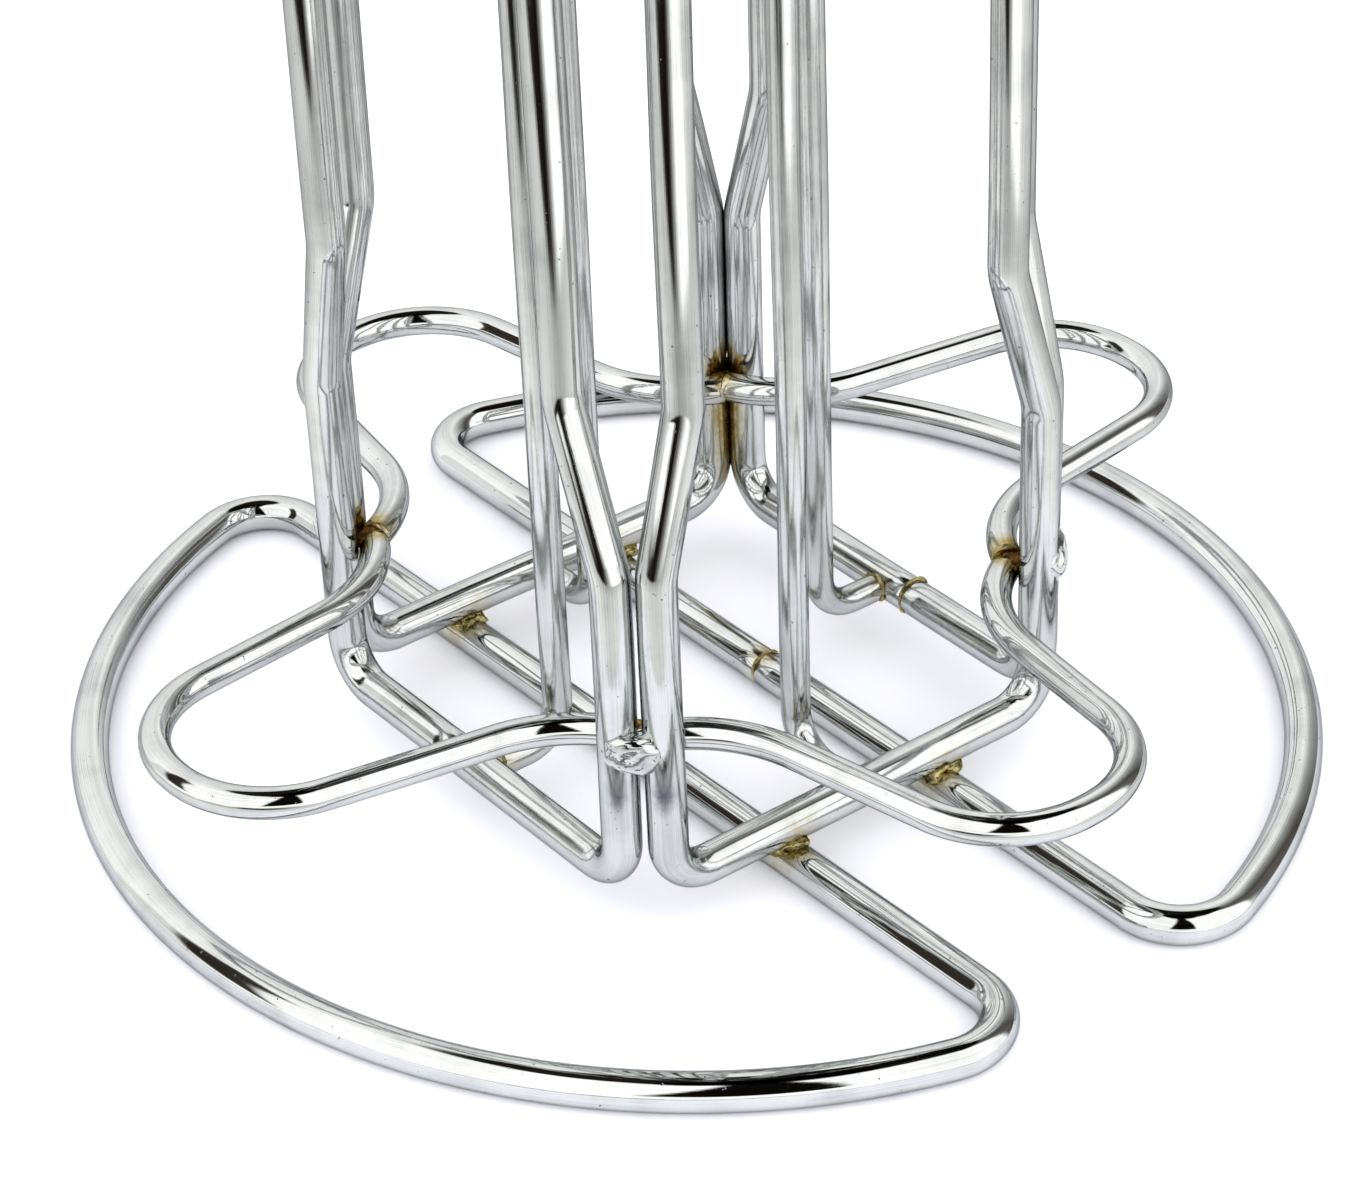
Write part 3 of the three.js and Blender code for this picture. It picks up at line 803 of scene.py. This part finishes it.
class TOWER_OT_crossing_beads(bpy.types.Operator):
    """Builds the straw-coloured beads where the side bars cross the floor loops' chords"""
    bl_idname = "tower.crossing_beads"
    bl_label = "Crossing beads"

    def execute(self, context):
        for seed, (name, place) in enumerate(crossings().items()):
            grid, draw = bead("crossing", place, 0, seed)
            node = f"crossing_weld_{name}"
            mesh_piece(f"bead_{node}", grid, draw, straw_bead(), node)
        return {"FINISHED"}


class TOWER_OT_foot_beads(bpy.types.Operator):
    """Builds the beads where the thin wires' feet meet the bars"""
    bl_idname = "tower.foot_beads"
    bl_label = "Foot beads"

    def execute(self, context):
        for seed, (side, turn) in enumerate(SIDES.items()):
            place = turned([0, sizes().heavy - half_width(), bar_height()], turn)
            grid, draw = bead("foot", place, turn, seed)
            node = f"foot_weld_{side}"
            mesh_piece(f"bead_{node}", grid, draw, straw_bead(), node)
        return {"FINISHED"}


class TOWER_OT_seam_beads(bpy.types.Operator):
    """Builds the low beads on the butt seams of the bars and the floor loops"""
    bl_idname = "tower.seam_beads"
    bl_label = "Seam beads"

    def execute(self, context):
        radius = sizes().heavy
        bars = (
            ("front_left", plated_bead, "plated_bead"),
            ("back_right", straw_bead, "straw_bead"),
        )
        for seed, (side, material, slot) in enumerate(bars):
            turn = SIDES[side]
            place = turned([BAR_SEAM, -half_width(), bar_height() + 0.1 * MM], turn)
            halves = [0.4 * MM, radius + 0.08 * MM, radius + 0.05 * MM]
            grid, draw = bead_grid(place, turn, halves, SEAM_RIPPLE, BAR_SEAM_SEED + seed)
            node = f"seam_weld_{side}_bar"
            mesh_piece(f"bead_{node}", grid, draw, material(), node)
        for seed, (loop, plan) in enumerate(FLOOR_LOOPS.items()):
            turn = plan["side"] + plan["turn"]
            place = turned([0, -plan["chord"] * MM, radius + 0.35 * MM], turn)
            halves = [0.45 * MM, radius, radius - 0.28 * MM]
            grid, draw = bead_grid(place, turn, halves, SEAM_RIPPLE, LOOP_SEAM_SEED + seed)
            node = f"seam_weld_{loop.removeprefix('base_loop_')}_loop"
            mesh_piece(f"bead_{node}", grid, draw, straw_bead(), node)
        return {"FINISHED"}


class TOWER_OT_handle_bead(bpy.types.Operator):
    """Builds the bead between the two arches where they cross on top"""
    bl_idname = "tower.handle_bead"
    bl_label = "Handle bead"

    def execute(self, context):
        low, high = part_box("handle_weld")
        place = (np.array(low) + np.array(high)) / 2
        grid, draw = bead("handle", place, 0, 0)
        mesh_piece("bead_handle_weld", grid, draw, plated_bead(), "handle_weld")
        return {"FINISHED"}


class TOWER_OT_stage(bpy.types.Operator):
    """Builds the floor, the soft sky, the surroundings that the wires mirror and the camera"""
    bl_idname = "tower.stage"
    bl_label = "Stage"

    floor_reach = 6
    azimuth = math.radians(52.34)
    elevation = math.radians(34.18)
    roll = math.radians(-1.67)
    eye_place = (0.33415, -0.24947, 0.29255)
    sensor_width = 36
    lens_length = 101.63
    shift = (-0.0431, 0.0427)
    sight = (0.01, 50)

    # surroundings: bearings in degrees run from -Y towards +X, and a glow of one is plain white
    dome_reach = 3
    ring_height = 1.5 * MM
    # dark ceiling patches: bearing, lean from upright, radius and soft edge, all in degrees
    patches = ((-145, 10, 21, 3), (75, 9, 10, 3))
    patch_glow = 0.012
    # swells of the near floor's glow: height, bearing and spread
    swells = ((0.2, -12, 20), (-0.2, 45, 16), (0.1, 105, 25), (0.2, -88, 25), (-0.2, -168, 20))
    left_glow = 1.8
    # glow of the far floor and of the sky: bearing and glow
    floor_bearings = ((-180, 0.75), (-60, 0.85), (-20, 0.9), (-8, 0.3), (2, 0.02), (38, 0.01), (48, 0.3),
                      (56, 0.85), (64, 1.6), (70, 1.9), (96, 1.9), (112, 1.2), (135, 1.0), (180, 0.9))
    sky_bearings = ((-180, 0.25), (-165, 0.55), (-150, 1.1), (-140, 1.45), (-126, 1.2), (-110, 1.35),
                    (-72, 1.5), (-58, 1.6), (-40, 1.75), (150, 1.75), (157, 0.2), (172, 0.12), (180, 0.25))

    def floor(self):
        """A wide square board."""
        mesh = bpy.data.meshes.new("floor")
        signs = ((-1, -1), (1, -1), (1, 1), (-1, 1))
        corners = [(x * self.floor_reach, y * self.floor_reach, 0) for x, y in signs]
        mesh.from_pydata(corners, [], [(0, 1, 2, 3)])
        board = bpy.data.objects.new("floor", mesh)
        bpy.context.collection.objects.link(board)
        mesh.materials.append(floor_material())

    def floor_glow(self, bearing, reach):
        """Strength of the floor's light as the wires mirror it: near the tower it falls off outwards
        with gentle swells. Past a curved edge it is nearly black in front, brightest to the right
        of that, and bright again farther out on the left. The edge lies nearest where the bearing
        is 39 degrees or more, and draws back with the square of the lag behind that."""
        near = blend(reach, 0.1, 0.19, 1.24, 0.8)
        near += sum(height * bell(bearing, middle, spread) for height, middle, spread in self.swells)
        far = np.interp(bearing, *zip(*self.floor_bearings))
        left = window(bearing, -50, 19, 8) * blend(reach, 0.31, 0.36)
        far = far + (self.left_glow - far) * left
        lag = np.clip(39 - bearing, 0, 60)
        edge = 0.193 + 0.000055 * lag ** 2
        width = 0.01 + 0.0005 * lag
        return near + (far - near) * blend(reach, edge - width, edge + width)

    def sky_glow(self, bearing, rise):
        """Strength of the sky's light as the wires mirror it: bright in front and at the sides and
        duller low on the left, with a dark upright figure in front, a dark leaning strip to the
        left, a dark wall behind and dark patches in the ceiling."""
        glow = np.interp(bearing, *zip(*self.sky_bearings))
        figure = window(bearing, 36 + 0.22 * rise, 71, 1.5) * blend(rise, 11, 15)
        strip = window(bearing, -36 - 0.53 * rise, -16 - 0.53 * rise, 1.5) * window(rise, 7, 50, 5)
        haze = window(bearing, -58, -38, 5) * window(rise, -5, 32, 8)
        glow = glow * (1 - 0.3 * haze) * (1 - 0.97 * strip) * (1 - 0.997 * figure)
        for toward, lean, reach, soft in self.patches:
            upward = np.sin(np.radians(rise)) * math.cos(math.radians(lean))
            level = np.cos(np.radians(rise)) * math.sin(math.radians(lean))
            cosine = upward + level * np.cos(np.radians(bearing - toward))
            gap = np.degrees(np.arccos(np.clip(cosine, -1, 1)))
            glow = glow * blend(gap, reach, reach + soft, self.patch_glow, 1)
        return glow

    def surround(self, name, bearings, others, place, glow):
        """Sheet of light round the tower that only mirrors see: place(bearing, other) and
        glow(bearing, other) over a grid of bearings in degrees and of the others, which are the
        distances on the floor or the rises of the sky."""
        bearing, other = np.meshgrid(bearings, others)
        side, front, height = place(np.radians(bearing), other)
        grid = np.stack([side, front, height], axis=2)
        index = np.arange(bearing.size).reshape(bearing.shape)
        quads = np.stack([index[:-1, :-1], index[:-1, 1:], index[1:, 1:], index[1:, :-1]], axis=2)
        mesh = bpy.data.meshes.new(name)
        mesh.from_pydata(grid.reshape(-1, 3).tolist(), [], quads.reshape(-1, 4).tolist())
        level = glow(bearing, other)
        mesh.attributes.new("glow", "FLOAT", "POINT").data.foreach_set("value", level.ravel())
        sheet = bpy.data.objects.new(name, mesh)
        bpy.context.collection.objects.link(sheet)
        mesh.materials.append(kept_material("surround_glow", glow_material))
        sheet.visible_camera = False
        sheet.visible_diffuse = False
        sheet.visible_shadow = False

    def surrounds(self):
        """The floor as a ring and the sky as a dome, seen only in the wires."""
        def ring(bearing, reach):
            height = np.full_like(reach, self.ring_height)
            return reach * np.sin(bearing), -reach * np.cos(bearing), height

        def dome(bearing, rise):
            level = self.dome_reach * np.cos(np.radians(rise))
            height = self.dome_reach * np.sin(np.radians(rise))
            return level * np.sin(bearing), -level * np.cos(bearing), height

        bearings = np.linspace(-180, 180, 181)
        reaches = np.concatenate([np.arange(0.1, 0.4, 0.005), [0.45, 0.6, 1, self.dome_reach]])
        self.surround("surround_floor", bearings, reaches, ring, self.floor_glow)
        self.surround("surround_sky", bearings, np.linspace(0, 90, 61), dome, self.sky_glow)

    def sky(self, light):
        """Soft light that falls from the viewer's side more than from behind the tower, and that
        the wires don't mirror."""
        world = bpy.data.worlds.new("soft_sky")
        world.use_nodes = True
        nodes, links = world.node_tree.nodes, world.node_tree.links
        bearing = nodes.new("ShaderNodeVectorMath")
        bearing.operation = "DOT_PRODUCT"
        bearing.inputs[1].default_value = (math.sin(self.azimuth), -math.cos(self.azimuth), 0)
        links.new(nodes.new("ShaderNodeTexCoord").outputs["Generated"], bearing.inputs[0])
        level = nodes.new("ShaderNodeMapRange")
        limits = {"From Min": -1, "From Max": 1, "To Min": light.rear, "To Max": light.front}
        for key, value in limits.items():
            level.inputs[key].default_value = value
        links.new(bearing.outputs["Value"], level.inputs["Value"])
        background = nodes["Background"]
        background.inputs["Color"].default_value = (0.985, 0.985, 1.03, 1)
        links.new(level.outputs["Result"], background.inputs["Strength"])
        world.cycles_visibility.glossy = False
        bpy.context.scene.world = world

    def camera(self):
        """Camera turned by azimuth, elevation and roll at its place."""
        lens = bpy.data.cameras.new("camera")
        lens.sensor_width, lens.lens = self.sensor_width, self.lens_length
        lens.shift_x, lens.shift_y = self.shift
        lens.clip_start, lens.clip_end = self.sight
        eye = bpy.data.objects.new("camera", lens)
        bpy.context.collection.objects.link(eye)
        az, el = self.azimuth, self.elevation
        forward = np.array([-math.sin(az) * math.cos(el), math.cos(az) * math.cos(el), -math.sin(el)])
        right = np.array([math.cos(az), math.sin(az), 0])
        up = np.cross(right, forward)
        side = math.cos(self.roll) * right + math.sin(self.roll) * up
        top = math.cos(self.roll) * up - math.sin(self.roll) * right
        turn = Matrix(np.stack([side, top, -forward], axis=1).tolist()).to_4x4()
        eye.matrix_world = Matrix.Translation(self.eye_place) @ turn
        bpy.context.scene.camera = eye

    def execute(self, context):
        self.floor()
        self.surrounds()
        self.sky(context.scene.tower_light)
        self.camera()
        context.scene.view_settings.view_transform = "Standard"
        return {"FINISHED"}


PIECES = (
    TOWER_OT_stage,
    TOWER_OT_floor_loops,
    TOWER_OT_frame_wires,
    TOWER_OT_tray_lobes,
    TOWER_OT_handle_wires,
    TOWER_OT_corner_beads,
    TOWER_OT_crossing_beads,
    TOWER_OT_foot_beads,
    TOWER_OT_seam_beads,
    TOWER_OT_handle_bead,
)


class TOWER_PT_sidebar(bpy.types.Panel):
    """Lists the sizes, the finish and a button for each group of pieces"""
    bl_idname = "TOWER_PT_sidebar"
    bl_label = "Pod tower"
    bl_space_type = "VIEW_3D"
    bl_region_type = "UI"
    bl_category = "Pod tower"

    def draw(self, context):
        for group in (context.scene.tower_sizes, context.scene.tower_finish, context.scene.tower_light):
            box = self.layout.box()
            for name in group.bl_rna.properties.keys():
                if name not in ("rna_type", "name"):
                    box.prop(group, name)
        for operator in PIECES:
            self.layout.operator(operator.bl_idname)


CLASSES = (TowerSizes, TowerFinish, StageLight, *PIECES, TOWER_PT_sidebar)


def register():
    for cls in CLASSES:
        bpy.utils.register_class(cls)
    bpy.types.Scene.tower_sizes = PointerProperty(type=TowerSizes)
    bpy.types.Scene.tower_finish = PointerProperty(type=TowerFinish)
    bpy.types.Scene.tower_light = PointerProperty(type=StageLight)


def unregister():
    del bpy.types.Scene.tower_light
    del bpy.types.Scene.tower_finish
    del bpy.types.Scene.tower_sizes
    for cls in reversed(CLASSES):
        bpy.utils.unregister_class(cls)


def main():
    register()
    for operator in PIECES:
        group, action = operator.bl_idname.split(".")
        getattr(getattr(bpy.ops, group), action)()


if __name__ == "__main__":
    main()
